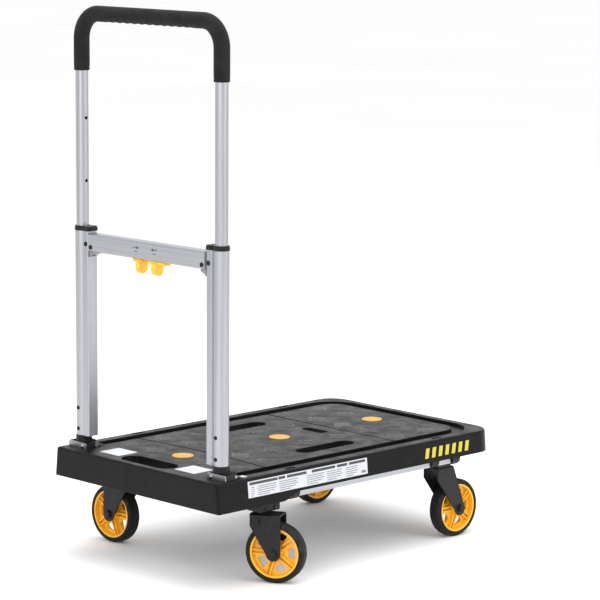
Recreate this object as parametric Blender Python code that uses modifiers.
"""Folding platform cart: moulded deck, telescopic folding handle and four wheels that fold in under the deck.

Units are metres and +Z is up. The origin is on the floor under the middle of the deck. The handle stands at -X,
and the cart's right side, as seen by the person pushing it, is -Y.
"""

import math

import bmesh
import bpy
from mathutils import Matrix, Vector

# ---- Driving dimensions -------------------------------------------------------------------------------------
GAP = 0.0003                    # clearance between neighbouring solids

DECK_LENGTH = 0.653
DECK_WIDTH = 0.396
DECK_TOP = 0.183
DECK_WALL = 0.003
CHANNEL_DEPTH = 0.0055
CHANNEL_FLOOR = 0.0025           # material left under the channel and beside it
CHANNEL_START = -0.256
CHANNEL_SIDES = (0.155, 0.178)
CHANNEL_ENDS = (0.286, 0.309)
CHANNEL_RADII = (0.035, 0.058)
CHANNEL_BED_BOTTOM = DECK_TOP - CHANNEL_DEPTH - CHANNEL_FLOOR
SKIRT_FLARE = 0.5               # share by which the skirt widens per metre below the deck top
DECK_DEEP_EDGE = 0.1342         # lower edge of the skirt at the handle end
DECK_SHALLOW_EDGE = 0.1461      # lower edge of the skirt along the sides and the far end
SKIRT_STEP_START = -0.187
SKIRT_STEP_END = -0.145
FAR_CORNER_RADIUS = 0.038
NEAR_CORNER_RADIUS = 0.005

WHEEL_RADIUS = 0.050
TYRE_HALF_WIDTH = 0.0125
HUB_RADIUS = 0.0415
AXLE_RADIUS = 0.004
WHEEL_TRACK = 0.170             # distance of the caster centres from the middle plane
SWIVEL_X = -0.200
SWIVEL_TRAIL = 0.0235
SWIVEL_HEADINGS = {"right": -62.7, "left": 93.2}
FAR_AXLE_X = 0.2556
NEAR_CROWN_TOP = 0.114
FAR_CROWN_TOP = 0.128
FORK_PLATE = 0.0025
FORK_INNER_HALF = 0.0145

SHAFT_Y = 0.178
SHAFT_Z = 0.141
SHAFT_HALF = 0.008
JOURNAL_RADIUS = 0.0078
BEARING_RADIUS = 0.0123
SHAFT_NEAR_END = -0.290
SHAFT_FAR_END = 0.2505
NEAR_BEARINGS = ((-0.256, -0.241), (-0.150, -0.135))
FAR_BEARINGS = ((0.180, 0.197), (0.232, 0.250))

TUBE_X = -0.290                 # both handle tubes stand on this line
TUBE_Y = 0.169
BOW_RADIUS = 0.0105
BOW_BORE = 0.0090
BOW_BOTTOM = 0.4695
BOW_BEND = 0.042
GRIP_RADIUS = 0.0135
GRIP_BOTTOM = 0.812
GRIP_TOP = 0.919

UPRIGHT_RADIUS = 0.0125
UPRIGHT_BORE = 0.0109
UPRIGHT_WEB_HALF = 0.0105
UPRIGHT_WEB_REACH = 0.0245      # from the tube axis to the inner face of the web
UPRIGHT_BOTTOM = 0.204
UPRIGHT_TOP = 0.548
COLLAR_TOP = 0.556

CROSSBAR_FRONT = -0.302
CROSSBAR_BACK = -0.280
CROSSBAR_BOTTOM = 0.516
CROSSBAR_TOP = 0.545
CROSSBAR_HALF_LENGTH = 0.142
CROSSBAR_WALL = 0.002
LOCK_PIN_Z = 0.527
LOCK_HOLE_PITCH = 0.1035
LOCK_ROD_X = -0.290
SPRING_SEAT = 0.068             # spring seats inside the crossbar, from the middle plane
ROD_SHOULDER = 0.094

PIVOT_X = -0.280
PIVOT_Z = 0.188
LEVER_LENGTH = 0.016
LINK_LENGTH = 0.017
LINKAGE_Y = 0.162
POCKET = (-0.3036, -0.2617, 0.1491, 0.1934)

CAP_POSITIONS = (-0.220, 0.001, 0.227)
CAP_RADIUS = 0.018

SIDES = (("right", -1), ("left", 1))

# ---- Colours ------------------------------------------------------------------------------------------------
DECK_BLACK = (0.020, 0.020, 0.021, 1.0)
BLACK_PLASTIC = (0.012, 0.012, 0.013, 1.0)
GRIP_BLACK = (0.030, 0.030, 0.033, 1.0)
PAINTED_BLACK = (0.025, 0.025, 0.027, 1.0)
ALUMINIUM = (0.62, 0.63, 0.65, 1.0)
STEEL = (0.42, 0.43, 0.44, 1.0)
YELLOW = (0.90, 0.42, 0.025, 1.0)
RUBBER = (0.014, 0.014, 0.015, 1.0)


# ---- Scene, objects and materials ---------------------------------------------------------------------------
def clear_scene():
    """Remove every object, so the script can be run again in an open file."""
    for obj in list(bpy.data.objects):
        bpy.data.objects.remove(obj, do_unlink=True)


def new_collection(name):
    """Make an empty collection under the scene's own."""
    collection = bpy.data.collections.new(name)
    bpy.context.scene.collection.children.link(collection)
    return collection


def make_material(name, colour, roughness, metallic=0.0):
    """Principled material with one colour."""
    material = bpy.data.materials.new(name)
    material.use_nodes = True
    shader = material.node_tree.nodes["Principled BSDF"]
    shader.inputs["Base Color"].default_value = colour
    shader.inputs["Roughness"].default_value = roughness
    shader.inputs["Metallic"].default_value = metallic
    return material


def evaluated_mesh(obj):
    """The object's mesh after its modifiers, in its own space."""
    bpy.context.view_layer.update()
    graph = bpy.context.evaluated_depsgraph_get()
    return bpy.data.meshes.new_from_object(obj.evaluated_get(graph), depsgraph=graph)


def mesh_from_bmesh(bm):
    """Hand a bmesh over to a new mesh."""
    mesh = bpy.data.meshes.new("shape")
    bm.to_mesh(mesh)
    bm.free()
    return mesh


def joined(meshes):
    """One mesh that holds several separate closed bodies."""
    bm = bmesh.new()
    for mesh in meshes:
        bm.from_mesh(mesh)
    return mesh_from_bmesh(bm)


def transformed(mesh, matrix):
    """A moved copy of a mesh, still facing outwards after a mirror."""
    copy = mesh.copy()
    copy.transform(matrix)
    if matrix.determinant() < 0:
        copy.flip_normals()
    return copy


def mirrored(mesh):
    """A copy of a mesh on the other side of the middle plane."""
    return transformed(mesh, Matrix.Scale(-1, 4, Vector((0, 1, 0))))


def on_side(mesh, side):
    """A mesh drawn at +Y, put on the left (+1) or the right (-1)."""
    return mesh if side > 0 else mirrored(mesh)


def boolean(mesh, tool, operation):
    """Combine two closed meshes with Blender's exact solver."""
    obj = bpy.data.objects.new("work", mesh)
    cutter = bpy.data.objects.new("cutter", tool)
    CUTTERS.objects.link(obj)
    CUTTERS.objects.link(cutter)
    cutter.hide_render = True
    cutter.display_type = "WIRE"
    modifier = obj.modifiers.new("boolean", "BOOLEAN")
    modifier.operation = operation
    modifier.solver = "EXACT"
    modifier.object = cutter
    result = evaluated_mesh(obj)
    bpy.data.objects.remove(obj, do_unlink=True)
    bpy.data.objects.remove(cutter, do_unlink=True)
    return result


def cut(mesh, *tools):
    """Take the tools away from the mesh."""
    return boolean(mesh, joined(tools), "DIFFERENCE")


def merge(mesh, *additions):
    """Join overlapping shapes into one closed body."""
    for addition in additions:
        mesh = boolean(mesh, addition, "UNION")
    return mesh


def add_part(name, mesh, material, parent=None, origin=(0.0, 0.0, 0.0)):
    """Place a mesh drawn in world coordinates as a named part with its origin at the given point."""
    tidy = bmesh.new()
    tidy.from_mesh(mesh)
    bmesh.ops.remove_doubles(tidy, verts=tidy.verts, dist=0.00001)
    bmesh.ops.recalc_face_normals(tidy, faces=tidy.faces)
    tidy.to_mesh(mesh)
    tidy.free()
    mesh.transform(Matrix.Translation(-Vector(origin)))
    mesh.name = name
    mesh.materials.clear()
    mesh.materials.append(material)
    mesh.shade_smooth()
    mesh.set_sharp_from_angle(angle=math.radians(35))
    obj = bpy.data.objects.new(name, mesh)
    PARTS.objects.link(obj)
    place(obj, origin, parent)
    return obj


def place(obj, origin, parent):
    """Set an object's world position, with or without a parent."""
    obj.location = Vector(origin)
    if parent is not None:
        obj.parent = parent
        obj.location = Vector(origin) - world_position(parent)


def world_position(obj):
    """World position of an object whose parents are only moved, never turned."""
    position = Vector(obj.location)
    while obj.parent is not None:
        obj = obj.parent
        position += Vector(obj.location)
    return position


def add_axis(name, origin, parent=None):
    """Empty on a joint's axis, which carries the pieces that move together."""
    empty = bpy.data.objects.new(name, None)
    empty.empty_display_size = 0.03
    PARTS.objects.link(empty)
    place(empty, origin, parent)
    return empty


# ---- Basic shapes -------------------------------------------------------------------------------------------
def box(x0, x1, y0, y1, z0, z1):
    """Box between two corners."""
    bm = bmesh.new()
    bmesh.ops.create_cube(bm, size=1.0)
    size = Vector((abs(x1 - x0), abs(y1 - y0), abs(z1 - z0)))
    centre = Vector(((x0 + x1) / 2, (y0 + y1) / 2, (z0 + z1) / 2))
    bmesh.ops.scale(bm, vec=size, verts=bm.verts)
    bmesh.ops.translate(bm, vec=centre, verts=bm.verts)
    return mesh_from_bmesh(bm)


def cylinder(start, end, radius, segments=24, end_radius=None):
    """Cylinder or cone between two points."""
    start = Vector(start)
    end = Vector(end)
    tip_radius = radius if end_radius is None else end_radius
    direction = end - start
    bm = bmesh.new()
    bmesh.ops.create_cone(bm, cap_ends=True, segments=segments, radius1=radius, radius2=tip_radius,
                          depth=direction.length)
    turn = direction.to_track_quat("Z", "Y").to_matrix().to_4x4()
    bmesh.ops.transform(bm, matrix=Matrix.Translation((start + end) / 2) @ turn, verts=bm.verts)
    return mesh_from_bmesh(bm)


def rounded(corners):
    """Closed outline from (u, v, radius) corners, each corner rounded by an arc."""
    points = []
    count = len(corners)
    for index, (u, v, radius) in enumerate(corners):
        corner = Vector((u, v))
        before = (Vector(corners[index - 1][:2]) - corner).normalized()
        after = (Vector(corners[(index + 1) % count][:2]) - corner).normalized()
        if radius == 0:
            points.append(tuple(corner))
            continue
        half = before.angle(after) / 2
        centre = corner + (before + after).normalized() * radius / math.sin(half)
        first = corner + before * radius / math.tan(half) - centre
        last = corner + after * radius / math.tan(half) - centre
        steps = math.ceil(math.degrees(first.angle(last)) / (15 if radius > 0.01 else 46))
        start = math.atan2(first.y, first.x)
        sweep = (math.atan2(last.y, last.x) - start + math.pi) % (2 * math.pi) - math.pi
        for step in range(steps + 1):
            angle = start + sweep * step / steps
            points.append((centre.x + radius * math.cos(angle), centre.y + radius * math.sin(angle)))
    return points


def arc(centre, radius, start, end, steps):
    """Points on an arc, angles in degrees."""
    angles = [math.radians(start + (end - start) * step / steps) for step in range(steps + 1)]
    return [(centre[0] + radius * math.cos(angle), centre[1] + radius * math.sin(angle)) for angle in angles]


def prism(outlines, low, high, plane="XY"):
    """Flat outlines, the later ones being holes, extruded between two heights of the third axis."""
    curve = bpy.data.curves.new("outline", "CURVE")
    curve.dimensions = "2D"
    curve.fill_mode = "BOTH"
    curve.extrude = (high - low) / 2
    for outline in outlines:
        spline = curve.splines.new("POLY")
        spline.points.add(len(outline) - 1)
        for point, (u, v) in zip(spline.points, outline):
            point.co = (u, v, 0, 1)
        spline.use_cyclic_u = True
    turns = {
        "XY": Matrix.Identity(4),
        "XZ": Matrix(((1, 0, 0, 0), (0, 0, -1, 0), (0, 1, 0, 0), (0, 0, 0, 1))),
        "YZ": Matrix(((0, 0, 1, 0), (1, 0, 0, 0), (0, 1, 0, 0), (0, 0, 0, 1))),
    }
    middle = (low + high) / 2
    shift = {"XY": (0, 0, middle), "XZ": (0, middle, 0), "YZ": (middle, 0, 0)}[plane]
    return mesh_from_curve(curve, Matrix.Translation(shift) @ turns[plane])


def tube(points, radius, resolution):
    """Round bar along a path."""
    curve = bpy.data.curves.new("path", "CURVE")
    curve.dimensions = "3D"
    curve.bevel_depth = radius
    curve.bevel_resolution = resolution
    curve.use_fill_caps = True
    spline = curve.splines.new("POLY")
    spline.points.add(len(points) - 1)
    for point, position in zip(spline.points, points):
        point.co = (*position, 1)
    return mesh_from_curve(curve, Matrix.Identity(4))


def mesh_from_curve(curve, matrix):
    """Mesh of a curve with its caps welded on."""
    curve.resolution_u = 1
    curve.render_resolution_u = 0
    obj = bpy.data.objects.new("curve", curve)
    CUTTERS.objects.link(obj)
    mesh = evaluated_mesh(obj)
    bpy.data.objects.remove(obj, do_unlink=True)
    bm = bmesh.new()
    bm.from_mesh(mesh)
    bmesh.ops.remove_doubles(bm, verts=bm.verts, dist=0.000005)
    bmesh.ops.recalc_face_normals(bm, faces=bm.faces)
    bmesh.ops.transform(bm, matrix=matrix, verts=bm.verts)
    return mesh_from_bmesh(bm)


def turned(profile, steps):
    """Ring turned about Z from a closed profile of (radius, height) points, outer side downwards."""
    bm = bmesh.new()
    corners = [bm.verts.new((radius, 0, height)) for radius, height in profile]
    for index, corner in enumerate(corners):
        bm.edges.new((corner, corners[(index + 1) % len(corners)]))
    obj = bpy.data.objects.new("turned", mesh_from_bmesh(bm))
    CUTTERS.objects.link(obj)
    screw = obj.modifiers.new("screw", "SCREW")
    screw.steps = steps
    screw.render_steps = steps
    screw.use_merge_vertices = True
    screw.merge_threshold = 0.00001
    mesh = evaluated_mesh(obj)
    bpy.data.objects.remove(obj, do_unlink=True)
    return mesh


# ---- Deck ---------------------------------------------------------------------------------------------------
def deck_outline(inset=0.0):
    """Plan of the deck, smaller by the inset."""
    half_length = DECK_LENGTH / 2 - inset
    half_width = DECK_WIDTH / 2 - inset
    near = NEAR_CORNER_RADIUS - inset / 2
    far = FAR_CORNER_RADIUS - inset / 2
    return rounded([(-half_length, -half_width, near), (half_length, -half_width, far),
                    (half_length, half_width, far), (-half_length, half_width, near)])


def open_tray():
    """Deck shell as an open surface given its wall thickness, its sides flared outwards."""
    bm = bmesh.new()
    bm.from_mesh(prism([deck_outline()], DECK_DEEP_EDGE, DECK_TOP))
    bm.normal_update()
    below = [face for face in bm.faces if face.normal.z < -0.5]
    bmesh.ops.delete(bm, geom=below, context="FACES")
    obj = bpy.data.objects.new("tray", mesh_from_bmesh(bm))
    CUTTERS.objects.link(obj)
    solidify = obj.modifiers.new("wall", "SOLIDIFY")
    solidify.thickness = DECK_WALL
    solidify.offset = -1
    solidify.use_even_offset = True
    mesh = evaluated_mesh(obj)
    bpy.data.objects.remove(obj, do_unlink=True)
    for vertex in mesh.vertices:
        vertex.co.y *= 1 + SKIRT_FLARE * (DECK_TOP - vertex.co.z)
    return mesh


def skirt_step():
    """Cutter that raises the skirt's lower edge in an S-curve behind the front casters."""
    steps = 8
    curve = []
    for step in range(steps + 1):
        share = step / steps
        x = SKIRT_STEP_START + (SKIRT_STEP_END - SKIRT_STEP_START) * share
        rise = (1 - math.cos(math.pi * share)) / 2
        curve.append((x, DECK_DEEP_EDGE - 0.0002 + (DECK_SHALLOW_EDGE - DECK_DEEP_EDGE + 0.0002) * rise))
    beyond = DECK_LENGTH / 2 + 0.02
    floor = DECK_DEEP_EDGE - 0.01
    outline = [(SKIRT_STEP_START, floor), (beyond, floor), (beyond, DECK_SHALLOW_EDGE)] + curve[::-1]
    return prism([outline], -0.25, 0.25, "XZ")


def slot(x0, x1, y0, y1):
    """Cutter for a round-ended opening through the deck."""
    radius = min(x1 - x0, y1 - y0) / 2 - 0.0002
    outline = rounded([(x0, y0, radius), (x1, y0, radius), (x1, y1, radius), (x0, y1, radius)])
    return prism([outline], DECK_TOP - 0.03, DECK_TOP + 0.01)


def channel_shape(low, high, margin=0.0, radius_change=0.0):
    """The channel that runs inside the rim on three sides, wider by the margin."""
    inner_side, outer_side = CHANNEL_SIDES[0] - margin, CHANNEL_SIDES[1] + margin
    inner_end, outer_end = CHANNEL_ENDS[0] - margin, CHANNEL_ENDS[1] + margin
    inner_radius, outer_radius = CHANNEL_RADII[0] - radius_change, CHANNEL_RADII[1] + radius_change
    start = CHANNEL_START - margin
    outline = rounded([
        (start, -outer_side, 0), (outer_end, -outer_side, outer_radius), (outer_end, outer_side, outer_radius),
        (start, outer_side, 0), (start, inner_side, 0), (inner_end, inner_side, inner_radius),
        (inner_end, -inner_side, inner_radius), (start, -inner_side, 0)])
    return prism([outline], low, high)


def edge_channel():
    """Cutter for the channel."""
    return channel_shape(DECK_TOP - CHANNEL_DEPTH, DECK_TOP + 0.01)


def channel_bed():
    """Thickening under the deck that carries the channel's floor."""
    return channel_shape(CHANNEL_BED_BOTTOM, DECK_TOP - DECK_WALL + 0.0005, CHANNEL_FLOOR, CHANNEL_FLOOR)


def cross_grooves():
    """Cutters for the straight far groove and the slightly bowed near groove."""
    depth = DECK_TOP - 0.0010
    straight = box(0.1195, 0.1225, -0.158, 0.158, depth, DECK_TOP + 0.01)
    centre = (-1.580, 0.0)
    bow = arc(centre, 1.4045, -6.4, 6.4, 12) + arc(centre, 1.4075, 6.4, -6.4, 12)
    return straight, prism([bow], depth, DECK_TOP + 0.01)


def deck_ribs():
    """Stiffening ribs and slot surrounds moulded under the deck, clear of the folded wheels."""
    low, high = 0.168, DECK_TOP - DECK_WALL + 0.0005
    ribs = [box(-0.128, 0.172, y - 0.0012, y + 0.0012, low, high) for y in (-0.129, -0.087, 0.0871, 0.1291)]
    ribs += [box(x - 0.0012, x + 0.0012, -0.150, 0.150, low + 0.0004, high + 0.0001) for x in (-0.110, 0.103, 0.160)]
    ribs.append(prism([rounded([(-0.3165, -0.0640, 0.020), (-0.2690, -0.0640, 0.020),
                                (-0.2690, 0.0640, 0.020), (-0.3165, 0.0640, 0.020)]),
                       rounded([(-0.3145, -0.0620, 0.018), (-0.2710, -0.0620, 0.018),
                                (-0.2710, 0.0620, 0.018), (-0.3145, 0.0620, 0.018)])], low, high))
    return ribs


def build_deck(materials):
    """Moulded deck with its slots, channel, grooves and hinge pockets."""
    shell = merge(open_tray(), channel_bed(), *deck_ribs())
    shell = cut(shell, skirt_step())
    x0, x1, y0, y1 = POCKET
    openings = [slot(-0.3125, -0.2730, -0.060, 0.060), slot(0.0755, 0.0955, -0.027, 0.027)]
    for side in (-1, 1):
        openings.append(slot(-0.060, 0.066, side * 0.108 - 0.016, side * 0.108 + 0.016))
        openings.append(box(x0, x1, side * y0, side * y1, DECK_TOP - 0.02, DECK_TOP + 0.01))
    shell = cut(shell, *openings)
    shell = cut(shell, edge_channel())
    shell = cut(shell, *cross_grooves())
    seats = [cylinder((x, 0, DECK_TOP - 0.0014), (x, 0, DECK_TOP + 0.01), CAP_RADIUS + 0.0006, 24)
             for x in CAP_POSITIONS]
    shell = cut(shell, *seats)
    add_part("deck_shell", shell, materials["deck"])


def build_deck_caps(materials):
    """Round yellow caps seated in the deck."""
    floor = DECK_TOP - 0.0014 + GAP
    rim = floor + 0.0010
    for number, x in enumerate(CAP_POSITIONS, 1):
        cap = merge(cylinder((x, 0, floor), (x, 0, rim + 0.0002), CAP_RADIUS, 24),
                    cylinder((x, 0, rim), (x, 0, rim + 0.0009), CAP_RADIUS - 0.0001, 24, CAP_RADIUS - 0.0012))
        add_part(f"deck_cap_{number}", cap, materials["yellow"])


# ---- Handle hinge -------------------------------------------------------------------------------------------
def hinge_block(side):
    """Fixed hinge block: two cheeks joined behind the handle's foot."""
    high = 0.1922
    cheek = rounded([(-0.3010, 0.160, 0), (-0.2620, 0.160, 0.002), (-0.2620, 0.1830, 0.002), (-0.2710, 0.1845, 0.003),
                     (-0.2810, high, 0.004), (-0.3010, high, 0.001)])
    inner = prism([cheek], 0.1495, 0.1540, "XZ")
    outer = prism([cheek], 0.1885, 0.1930, "XZ")
    block = merge(box(-0.2700, -0.2622, 0.1500, 0.1925, 0.1605, 0.1790), inner, outer)
    block = cut(block, cylinder((PIVOT_X, 0.14, PIVOT_Z), (PIVOT_X, 0.20, PIVOT_Z), 0.0029, 16))
    return on_side(block, side)


def stop_plate(side):
    """Steel plate across the block's outer end, the stop for the upright handle, with its rivet."""
    plate = prism([rounded([(0.1495, 0.160, 0.001), (0.1930, 0.160, 0.001), (0.1930, 0.1922, 0.004),
                            (0.1495, 0.1922, 0.004)])], -0.3033, -0.3013, "YZ")
    rivet = cylinder((-0.3025, 0.1585, 0.1870), (-0.3050, 0.1585, 0.1870), 0.0038, 16, 0.0022)
    return on_side(merge(plate, rivet), side)


def hinge_pin(side):
    """Steel pivot pin with a head at its inner end."""
    pin = merge(cylinder((PIVOT_X, 0.1490, PIVOT_Z), (PIVOT_X, 0.1932, PIVOT_Z), 0.0026, 16),
                cylinder((PIVOT_X, 0.1476, PIVOT_Z), (PIVOT_X, 0.14920 - 0.0001, PIVOT_Z), 0.0048, 16))
    return on_side(pin, side)


def handle_foot(side):
    """Plastic foot: plug inside the upright, ring under it, hinge lug and the lever that works the link."""
    plug = cylinder((TUBE_X, TUBE_Y, 0.195), (TUBE_X, TUBE_Y, 0.258), 0.0104, 16)
    ring = cylinder((TUBE_X, TUBE_Y, 0.193), (TUBE_X, TUBE_Y, UPRIGHT_BOTTOM - GAP), 0.0135, 20)
    lug = box(-0.2975, PIVOT_X, 0.1545 + 0.003, 0.1855, 0.180, 0.1945)
    knuckle = cylinder((PIVOT_X, 0.1576, PIVOT_Z), (PIVOT_X, 0.1854, PIVOT_Z), 0.0078, 20)
    low = PIVOT_Z - LEVER_LENGTH
    lever = box(PIVOT_X - 0.0032, PIVOT_X + 0.0032, 0.1585, 0.1655, low, PIVOT_Z)
    eye = cylinder((PIVOT_X, 0.1586, low), (PIVOT_X, 0.1654, low), 0.0032, 16)
    foot = merge(ring, plug, lug, knuckle, lever, eye)
    fork_gap = box(PIVOT_X - 0.01, PIVOT_X + 0.01, LINKAGE_Y - 0.0020, LINKAGE_Y + 0.0020, low - 0.01, low + 0.0060)
    pivot_hole = cylinder((PIVOT_X, 0.15, PIVOT_Z), (PIVOT_X, 0.19, PIVOT_Z), 0.0029, 16)
    return on_side(cut(cut(foot, fork_gap), pivot_hole), side)


def fold_link(side):
    """Link from the foot's lever down to the crank; its lower eye is left open."""
    top = PIVOT_Z - LEVER_LENGTH
    low = top - LINK_LENGTH
    bar = box(PIVOT_X - 0.0024, PIVOT_X + 0.0024, LINKAGE_Y - 0.0016, LINKAGE_Y + 0.0016, low, top)
    upper = cylinder((PIVOT_X, LINKAGE_Y - 0.00165, top), (PIVOT_X, LINKAGE_Y + 0.00165, top), 0.0030, 16)
    lower = cylinder((PIVOT_X, LINKAGE_Y - 0.00165, low), (PIVOT_X, LINKAGE_Y + 0.00165, low), 0.0030, 16)
    link = cut(merge(bar, upper, lower),
               cylinder((PIVOT_X, LINKAGE_Y - 0.01, low), (PIVOT_X, LINKAGE_Y + 0.01, low), 0.0015, 12))
    return on_side(link, side)


# ---- Handle frame -------------------------------------------------------------------------------------------
def upright_outline(grow=0.0):
    """Plan of the upright extrusion: a round tube with a flat-sided web towards the middle."""
    radius = UPRIGHT_RADIUS + grow
    half = UPRIGHT_WEB_HALF + grow
    reach = TUBE_Y - UPRIGHT_WEB_REACH - grow
    meet = math.degrees(math.asin(half / radius))
    round_side = arc((TUBE_X, TUBE_Y), radius, -meet, 180 + meet, 16)
    corner = rounded([(TUBE_X - half, TUBE_Y, 0), (TUBE_X - half, reach, 0.002), (TUBE_X + half, reach, 0.002),
                      (TUBE_X + half, TUBE_Y, 0)])
    return round_side + corner[1:-1]


def upright(side):
    """Aluminium extrusion with its bore, hollow web and lock-pin hole."""
    bore = arc((TUBE_X, TUBE_Y), UPRIGHT_BORE, 0, 345, 23)
    wall = 0.0018
    web_inner = TUBE_Y - UPRIGHT_WEB_REACH + wall
    web_half = UPRIGHT_WEB_HALF - wall
    cavity = [(TUBE_X - web_half, web_inner), (TUBE_X + web_half, web_inner), (TUBE_X + web_half, 0.1565),
              (TUBE_X - web_half, 0.1565)]
    body = prism([upright_outline(), bore, cavity], UPRIGHT_BOTTOM, UPRIGHT_TOP)
    pin_hole = cylinder((LOCK_ROD_X, 0.14, LOCK_PIN_Z), (LOCK_ROD_X, 0.162, LOCK_PIN_Z), 0.0034, 16)
    return on_side(cut(body, pin_hole), side)


def collar(side):
    """Plastic collar on top of the upright that guides the sliding bow."""
    low = UPRIGHT_TOP + GAP
    guide = arc((TUBE_X, TUBE_Y), UPRIGHT_BORE, 0, 345, 23)
    body = prism([upright_outline(0.0010), guide], low, COLLAR_TOP)
    tab = box(TUBE_X - 0.006, TUBE_X + 0.006, 0.1410, 0.1450, low + 0.0001, low + 0.0045)
    return on_side(merge(body, tab), side)


def crossbar():
    """Rectangular aluminium bar between the uprights, slotted below for the triggers, with two spring seats inside."""
    corner = 0.003
    outer = rounded([(CROSSBAR_FRONT, CROSSBAR_BOTTOM, corner), (CROSSBAR_BACK, CROSSBAR_BOTTOM, corner),
                     (CROSSBAR_BACK, CROSSBAR_TOP, corner), (CROSSBAR_FRONT, CROSSBAR_TOP, corner)])
    wall = CROSSBAR_WALL
    inner = [(CROSSBAR_FRONT + wall, CROSSBAR_BOTTOM + wall), (CROSSBAR_BACK - wall, CROSSBAR_BOTTOM + wall),
             (CROSSBAR_BACK - wall, CROSSBAR_TOP - wall), (CROSSBAR_FRONT + wall, CROSSBAR_TOP - wall)]
    bar = prism([outer, inner], -CROSSBAR_HALF_LENGTH, CROSSBAR_HALF_LENGTH, "XZ")
    slots = []
    for side in (-1, 1):
        seat = box(CROSSBAR_FRONT + 0.001, CROSSBAR_BACK - 0.001, side * SPRING_SEAT, side * (SPRING_SEAT - 0.002),
                   CROSSBAR_BOTTOM + 0.001, CROSSBAR_TOP - 0.001)
        rod_hole = cylinder((LOCK_ROD_X, side * 0.05, LOCK_PIN_Z), (LOCK_ROD_X, side * 0.08, LOCK_PIN_Z), 0.0034, 12)
        bar = merge(bar, cut(seat, rod_hole))
        slots.append(box(-0.2955, -0.2845, side * 0.0085, side * 0.0275, 0.51, 0.5185))
    return cut(bar, *slots)


def crossbar_bracket(side):
    """End fitting: a block inside the bar, a flange against the web and a short gusset below."""
    block = box(-0.2997, -0.2823, 0.1220, 0.1430, 0.5183, 0.5427)
    flange = box(-0.3003, -0.2797, 0.1423, 0.1442, 0.5060, 0.5440)
    gusset = prism([[(0.1300, 0.5155), (0.1300, 0.5120), (0.1425, 0.5065), (0.1430, 0.5155)]],
                   -0.2990, -0.2830, "YZ")
    body = merge(block, flange, gusset)
    rod_hole = cylinder((LOCK_ROD_X, 0.11, LOCK_PIN_Z), (LOCK_ROD_X, 0.15, LOCK_PIN_Z), 0.0034, 16)
    return on_side(cut(body, rod_hole), side)


def trigger(side):
    """Squeeze trigger: paddle under the crossbar, sliding base and a neck into the bar."""
    paddle = prism([rounded([(-0.3010, 0.5125, 0.001), (-0.3010, 0.4920, 0.0088), (-0.2830, 0.4920, 0.0088),
                             (-0.2830, 0.5125, 0.001)])], 0.0140, 0.0240, "XZ")
    inner_end = 0.0015 if side < 0 else 0.0125
    outer_end = 0.044 if side < 0 else 0.034
    base = box(-0.2990, -0.2840, inner_end, outer_end, 0.5105, CROSSBAR_BOTTOM - GAP)
    neck = box(-0.2940, -0.2860, 0.0160, 0.0220, 0.5120, 0.5200)
    return on_side(merge(paddle, base, neck), side)


def lock_rod(side):
    """Rod inside the crossbar from the trigger's neck to the lock pin, with a shoulder for the spring."""
    rod = cylinder((LOCK_ROD_X, 0.0130, LOCK_PIN_Z), (LOCK_ROD_X, 0.1540, LOCK_PIN_Z), 0.0030, 16)
    tip = cylinder((LOCK_ROD_X, 0.1530, LOCK_PIN_Z), (LOCK_ROD_X, 0.1577, LOCK_PIN_Z), 0.0025, 16)
    shoulder = cylinder((LOCK_ROD_X, ROD_SHOULDER, LOCK_PIN_Z), (LOCK_ROD_X, ROD_SHOULDER + 0.0025, LOCK_PIN_Z),
                        0.0060, 16)
    clip = box(-0.2955, -0.2845, 0.0125, 0.0255, 0.5203, 0.5330)
    rod = merge(rod, tip, shoulder, clip)
    return on_side(rod, side)


def lock_spring(side):
    """Compression spring round the rod, between the seat in the crossbar and the rod's shoulder."""
    turns = 5
    points_per_turn = 8
    start, end = SPRING_SEAT + 0.0009, ROD_SHOULDER - 0.0009
    radius = 0.0044
    points = []
    for step in range(turns * points_per_turn + 1):
        angle = 2 * math.pi * step / points_per_turn
        y = start + (end - start) * step / (turns * points_per_turn)
        points.append((LOCK_ROD_X + radius * math.cos(angle), y, LOCK_PIN_Z + radius * math.sin(angle)))
    return on_side(tube(points, 0.0005, 0), side)


# ---- Sliding bow --------------------------------------------------------------------------------------------
def bow_path(bottom):
    """Route of the bow: up one side, round two bends and down the other."""
    top = GRIP_TOP - GRIP_RADIUS
    bend_z = top - BOW_BEND
    bend_y = TUBE_Y - BOW_BEND
    left_bend = arc((bend_y, bend_z), BOW_BEND, 0, 90, 6)
    right_bend = [(-y, z) for y, z in left_bend[::-1]]
    path = [(TUBE_Y, bottom)] + left_bend + right_bend + [(-TUBE_Y, bottom)]
    return [(TUBE_X, y, z) for y, z in path]


def bow_tube():
    """Inner handle tube, open at both lower ends, with its lock holes."""
    body = cut(tube(bow_path(BOW_BOTTOM), BOW_RADIUS, 5), tube(bow_path(BOW_BOTTOM - 0.01), BOW_BORE, 5))
    holes = []
    for _, side in SIDES:
        for step in range(3):
            z = LOCK_PIN_Z + step * LOCK_HOLE_PITCH
            holes.append(cylinder((TUBE_X, side * 0.165, z), (TUBE_X, side * 0.150, z), 0.0029, 12))
    return cut(body, *holes)


def grip():
    """Foam grip, a sleeve over the bow."""
    sleeve = tube(bow_path(GRIP_BOTTOM), GRIP_RADIUS, 5)
    return cut(sleeve, tube(bow_path(GRIP_BOTTOM - 0.01), BOW_RADIUS + 0.0007, 5))


def glide_bush(side):
    """Plastic plug in the bow's lower end."""
    plug = cylinder((TUBE_X, TUBE_Y, BOW_BOTTOM - 0.001), (TUBE_X, TUBE_Y, BOW_BOTTOM + 0.018), 0.0085, 20)
    flange = cylinder((TUBE_X, TUBE_Y, BOW_BOTTOM - 0.0035), (TUBE_X, TUBE_Y, BOW_BOTTOM - GAP), 0.0104, 20)
    return on_side(merge(plug, flange), side)


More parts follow.
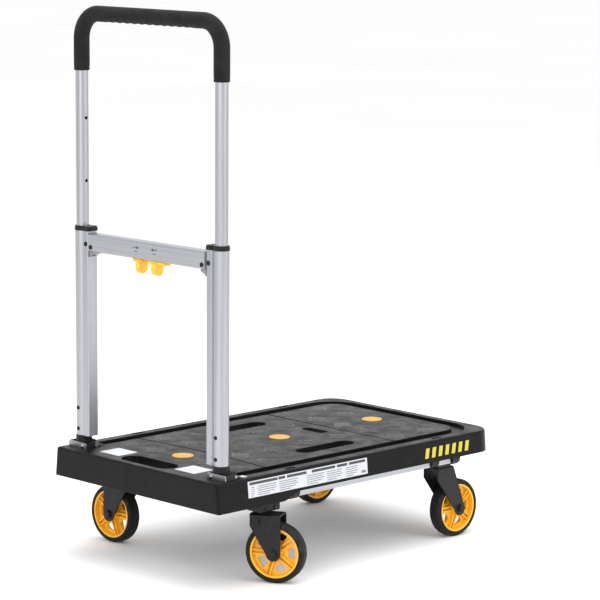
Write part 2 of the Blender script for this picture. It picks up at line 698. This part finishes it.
# ---- Folding shafts -----------------------------------------------------------------------------------------
def fold_shaft(side):
    """Square aluminium shaft, turned round where it runs in its bearings."""
    body = cylinder((SHAFT_NEAR_END, SHAFT_Y, SHAFT_Z), (SHAFT_FAR_END, SHAFT_Y, SHAFT_Z), JOURNAL_RADIUS, 16)
    clear = 0.0004
    bearings = NEAR_BEARINGS + FAR_BEARINGS
    for (_, start), (end, _) in zip(bearings[:-1], bearings[1:]):
        body = merge(body, square_length(start + clear, end - clear))
    return on_side(body, side)


def square_length(start, end):
    """Square length of the shaft."""
    half = SHAFT_HALF
    return box(start, end, SHAFT_Y - half, SHAFT_Y + half, SHAFT_Z - half, SHAFT_Z + half)


def bearing_bracket(bearings, side):
    """Plastic bracket under the deck: two bored ears joined by a strap, stepped round the channel's bed."""
    top = DECK_TOP - DECK_WALL - GAP
    first, last = bearings[0][0], bearings[-1][1]
    body = box(first, last, SHAFT_Y - BEARING_RADIUS + 0.0002, SHAFT_Y + BEARING_RADIUS - 0.0002, top - 0.005, top)
    for start, end in bearings:
        ear = merge(cylinder((start, SHAFT_Y, SHAFT_Z), (end, SHAFT_Y, SHAFT_Z), BEARING_RADIUS, 20),
                    box(start + 0.0001, end - 0.0001, SHAFT_Y - BEARING_RADIUS, SHAFT_Y + BEARING_RADIUS,
                        SHAFT_Z, top - 0.001))
        body = merge(body, ear)
    bore = cylinder((first - 0.01, SHAFT_Y, SHAFT_Z), (last + 0.01, SHAFT_Y, SHAFT_Z), JOURNAL_RADIUS + 0.0006, 16)
    bed_edge = CHANNEL_SIDES[1] + CHANNEL_FLOOR + GAP
    bed = box(first - 0.01, last + 0.01, SHAFT_Y - 0.02, bed_edge, CHANNEL_BED_BOTTOM - GAP, DECK_TOP)
    return on_side(cut(body, bore, bed), side)


def fold_crank(side):
    """Crank on the shaft's near end, pointing towards the middle of the cart."""
    x0, x1 = -0.2860, -0.2745
    ring = cylinder((x0, SHAFT_Y, SHAFT_Z), (x1, SHAFT_Y, SHAFT_Z), 0.0115, 20)
    arm = box(x0 + 0.0010, x1 - 0.0010, LINKAGE_Y, SHAFT_Y, SHAFT_Z - 0.0035, SHAFT_Z + 0.0035)
    tip = cylinder((x0 + 0.0011, LINKAGE_Y, SHAFT_Z), (x1 - 0.0011, LINKAGE_Y, SHAFT_Z), 0.0036, 16)
    crank = cut(merge(ring, arm, tip),
                cylinder((x0 - 0.01, SHAFT_Y, SHAFT_Z), (x1 + 0.01, SHAFT_Y, SHAFT_Z), JOURNAL_RADIUS + 0.0006, 16))
    return on_side(crank, side)


# ---- Wheels and forks ---------------------------------------------------------------------------------------
def tyre_mesh():
    """Rubber tyre with rounded shoulders, turned about Z."""
    half = TYRE_HALF_WIDTH
    inner = HUB_RADIUS + GAP
    shoulder = 0.0465
    return turned([(inner, half), (shoulder, half), (WHEEL_RADIUS, half - 0.0050), (WHEEL_RADIUS, -half + 0.0050),
                   (shoulder, -half), (inner, -half)], 32)


def hub_mesh():
    """Wheel centre with a rim, a web with five windows and a bored boss."""
    profile = [(0.0043, 0.0125), (0.0120, 0.0125), (0.0135, 0.0030), (0.0380, 0.0030), (0.0385, 0.0112),
               (HUB_RADIUS, 0.0112), (HUB_RADIUS, -0.0112), (0.0385, -0.0112), (0.0380, -0.0030),
               (0.0135, -0.0030), (0.0120, -0.0125), (0.0043, -0.0125)]
    windows = []
    for number in range(5):
        middle = 360 * number / 5
        outline = (arc((0, 0), 0.0345, middle - 21, middle + 21, 3)
                   + arc((0, 0), 0.0190, middle + 17, middle - 17, 2))
        windows.append(prism([outline], -0.01, 0.01))
    return cut(turned(profile, 24), *windows)


def fork_leg(top, width_start, width_end, trail, offset):
    """Side plate of a fork in its own frame: u along the trail, v across, w up."""
    low = WHEEL_RADIUS
    end_radius = 0.0125
    start_angle = -8 if trail + end_radius >= width_end else 20
    bottom = arc((trail, low), end_radius, start_angle, -172, 10)
    outline = [(width_end, top), *bottom, (width_start, top - 0.020), (width_start, top)]
    return prism([outline], offset, offset + FORK_PLATE, "XZ")


def fork(top, start, end, trail, crown_bore=None):
    """Pressed steel fork: crown plate and two legs, in its own frame."""
    outer = FORK_INNER_HALF + FORK_PLATE
    body = box(start, end, -outer + 0.0001, outer - 0.0001, top - FORK_PLATE, top - 0.00005)
    body = merge(body, fork_leg(top, start, end, trail, FORK_INNER_HALF),
                 fork_leg(top, start, end, trail, -outer))
    holes = [cylinder((trail, -0.03, WHEEL_RADIUS), (trail, 0.03, WHEEL_RADIUS), AXLE_RADIUS + 0.0004, 16)]
    if crown_bore is not None:
        holes.append(cylinder((0, 0, top - 0.01), (0, 0, top + 0.01), crown_bore, 16))
    return cut(body, *holes)


def axle_mesh(trail):
    """Axle bolt with a hexagon head and nut, in the fork's frame."""
    seat = FORK_INNER_HALF + FORK_PLATE + GAP
    bolt = cylinder((trail, -seat - 0.0045, WHEEL_RADIUS), (trail, seat + 0.0045, WHEEL_RADIUS), AXLE_RADIUS, 16)
    head = cylinder((trail, -seat - 0.0035, WHEEL_RADIUS), (trail, -seat, WHEEL_RADIUS), 0.0070, 6)
    nut = cylinder((trail, seat, WHEEL_RADIUS), (trail, seat + 0.0040, WHEEL_RADIUS), 0.0070, 6)
    return merge(bolt, head, nut)


def caster_saddle(side):
    """Block riveted under the shaft that carries the swivel fork, with cheeks up the shaft's sides."""
    low, top = NEAR_CROWN_TOP + 0.0043, SHAFT_Z - SHAFT_HALF - GAP
    block = box(-0.2220, -0.1780, 0.1550, 0.1885, low, top)
    inner_cheek = box(-0.2160, -0.1840, 0.1668, SHAFT_Y - SHAFT_HALF - GAP, top - 0.002, 0.1450)
    outer_cheek = box(-0.2160, -0.1840, SHAFT_Y + SHAFT_HALF + GAP, 0.1884, top - 0.002, 0.1450)
    boss = cylinder((SWIVEL_X, WHEEL_TRACK, NEAR_CROWN_TOP + 0.0006), (SWIVEL_X, WHEEL_TRACK, low + 0.001), 0.0150, 24)
    body = merge(block, inner_cheek, outer_cheek, boss)
    bore = cylinder((SWIVEL_X, WHEEL_TRACK, 0.10), (SWIVEL_X, WHEEL_TRACK, 0.15), 0.0044, 16)
    rivet = cylinder((-0.190, 0.1875, 0.1235), (-0.190, 0.1905, 0.1235), 0.0038, 16, 0.0026)
    return on_side(cut(merge(body, rivet), bore), side)


def kingpin(side):
    """Vertical swivel pin with its nut under the fork's crown."""
    low = NEAR_CROWN_TOP - FORK_PLATE - GAP
    pin = merge(cylinder((SWIVEL_X, WHEEL_TRACK, low - 0.0055), (SWIVEL_X, WHEEL_TRACK, 0.1315), 0.0040, 16),
                cylinder((SWIVEL_X, WHEEL_TRACK, low - 0.0045), (SWIVEL_X, WHEEL_TRACK, low), 0.0075, 6))
    return on_side(pin, side)


def far_fork(side):
    """Fixed fork under the shaft's far end."""
    centre_x = 0.216
    body = fork(FAR_CROWN_TOP, 0.1975 - centre_x, 0.2350 - centre_x, FAR_AXLE_X - centre_x)
    body = transformed(body, Matrix.Translation((centre_x, WHEEL_TRACK, 0)))
    neck = box(0.2000, 0.2290, 0.1715, 0.1845, FAR_CROWN_TOP - 0.001, SHAFT_Z - SHAFT_HALF - GAP)
    return on_side(merge(body, neck), side)


def heading_matrix(name, side):
    """Frame of a swivel caster: its origin on the swivel axis at floor level, turned to its rest heading."""
    turn = Matrix.Rotation(math.radians(SWIVEL_HEADINGS[name]), 4, "Z")
    return Matrix.Translation((SWIVEL_X, side * WHEEL_TRACK, 0)) @ turn


def wheel_frame(frame, trail):
    """Frame of a wheel whose own Z is its axle, in a fork's frame."""
    return frame @ Matrix.Translation((trail, 0, WHEEL_RADIUS)) @ Matrix.Rotation(math.radians(90), 4, "X")


def add_wheel(name, frame, trail, parent, meshes, materials):
    """Tyre and hub of one wheel on their own axis."""
    matrix = wheel_frame(frame, trail)
    centre = matrix.translation
    axis = add_axis(f"{name}_axis", centre, parent)
    add_part(f"{name}_tyre", transformed(meshes["tyre"], matrix), materials["rubber"], axis, centre)
    add_part(f"{name}_hub", transformed(meshes["hub"], matrix), materials["yellow"], axis, centre)


def build_swivel_caster(name, side, shaft_axis, meshes, materials):
    """Swivelling caster at the handle end of one side."""
    frame = heading_matrix(name, side)
    swivel = add_axis(f"swivel_{name}", (SWIVEL_X, side * WHEEL_TRACK, NEAR_CROWN_TOP), shaft_axis)
    origin = world_position(swivel)
    body = fork(NEAR_CROWN_TOP, -0.0165, 0.0350, SWIVEL_TRAIL, 0.0044)
    add_part(f"swivel_fork_{name}", transformed(body, frame), materials["painted"], swivel, origin)
    add_part(f"swivel_axle_{name}", transformed(axle_mesh(SWIVEL_TRAIL), frame), materials["painted"], swivel, origin)
    add_wheel(f"swivel_wheel_{name}", frame, SWIVEL_TRAIL, swivel, meshes, materials)


def build_far_caster(name, side, shaft_axis, meshes, materials):
    """Fixed caster at the far end of one side."""
    frame = Matrix.Translation((FAR_AXLE_X, side * WHEEL_TRACK, 0))
    origin = world_position(shaft_axis)
    add_part(f"far_fork_{name}", far_fork(side), materials["painted"], shaft_axis, origin)
    add_part(f"far_axle_{name}", transformed(axle_mesh(0.0), frame), materials["painted"], shaft_axis, origin)
    add_wheel(f"far_wheel_{name}", frame, 0.0, shaft_axis, meshes, materials)


# ---- Assembly -----------------------------------------------------------------------------------------------
def build_fixed_parts(materials):
    """Everything that stays with the deck."""
    build_deck(materials)
    build_deck_caps(materials)
    for name, side in SIDES:
        add_part(f"hinge_block_{name}", hinge_block(side), materials["plastic"])
        add_part(f"stop_plate_{name}", stop_plate(side), materials["steel"])
        add_part(f"hinge_pin_{name}", hinge_pin(side), materials["steel"])
        add_part(f"near_bearing_{name}", bearing_bracket(NEAR_BEARINGS, side), materials["plastic"])
        add_part(f"far_bearing_{name}", bearing_bracket(FAR_BEARINGS, side), materials["plastic"])


def build_handle(materials):
    """Folding frame, sliding bow, triggers and links."""
    frame = add_axis("handle_axis", (PIVOT_X, 0, PIVOT_Z))
    origin = world_position(frame)
    link_origin = Vector((PIVOT_X, 0, PIVOT_Z - LEVER_LENGTH))
    for name, side in SIDES:
        add_part(f"upright_{name}", upright(side), materials["aluminium"], frame, origin)
        add_part(f"collar_{name}", collar(side), materials["plastic"], frame, origin)
        add_part(f"handle_foot_{name}", handle_foot(side), materials["plastic"], frame, origin)
        add_part(f"crossbar_bracket_{name}", crossbar_bracket(side), materials["steel"], frame, origin)
        add_part(f"lock_spring_{name}", lock_spring(side), materials["steel"], frame, origin)
        add_part(f"trigger_{name}", trigger(side), materials["yellow"], frame, (LOCK_ROD_X, side * 0.019, LOCK_PIN_Z))
        add_part(f"lock_rod_{name}", lock_rod(side), materials["steel"], frame, (LOCK_ROD_X, side * 0.019, LOCK_PIN_Z))
        add_part(f"fold_link_{name}", fold_link(side), materials["steel"], frame, link_origin)
    add_part("crossbar", crossbar(), materials["aluminium"], frame, origin)
    slide = add_axis("slide_axis", (TUBE_X, 0, BOW_BOTTOM), frame)
    slide_origin = world_position(slide)
    add_part("bow_tube", bow_tube(), materials["aluminium"], slide, slide_origin)
    add_part("grip", grip(), materials["grip"], slide, slide_origin)
    for name, side in SIDES:
        add_part(f"glide_bush_{name}", glide_bush(side), materials["plastic"], slide, slide_origin)


def build_undercarriage(materials):
    """Both folding shafts with everything that hangs on them."""
    meshes = {"tyre": tyre_mesh(), "hub": hub_mesh()}
    for name, side in SIDES:
        axis = add_axis(f"shaft_axis_{name}", (0, side * SHAFT_Y, SHAFT_Z))
        origin = world_position(axis)
        add_part(f"fold_shaft_{name}", fold_shaft(side), materials["aluminium"], axis, origin)
        add_part(f"fold_crank_{name}", fold_crank(side), materials["steel"], axis, origin)
        add_part(f"caster_saddle_{name}", caster_saddle(side), materials["painted"], axis, origin)
        add_part(f"kingpin_{name}", kingpin(side), materials["steel"], axis, origin)
        build_swivel_caster(name, side, axis, meshes, materials)
        build_far_caster(name, side, axis, meshes, materials)


def build_materials():
    """One plain material for each kind of surface."""
    return {
        "deck": make_material("deck_plastic", DECK_BLACK, 0.55),
        "plastic": make_material("black_plastic", BLACK_PLASTIC, 0.5),
        "grip": make_material("grip_foam", GRIP_BLACK, 0.9),
        "painted": make_material("painted_steel", PAINTED_BLACK, 0.4),
        "aluminium": make_material("satin_aluminium", ALUMINIUM, 0.35, 1.0),
        "steel": make_material("plated_steel", STEEL, 0.35, 1.0),
        "yellow": make_material("yellow_plastic", YELLOW, 0.35),
        "rubber": make_material("tyre_rubber", RUBBER, 0.7),
    }


clear_scene()
PARTS = new_collection("folding_platform_cart")
CUTTERS = new_collection("cutters")
MATERIALS = build_materials()
build_fixed_parts(MATERIALS)
build_handle(MATERIALS)
build_undercarriage(MATERIALS)
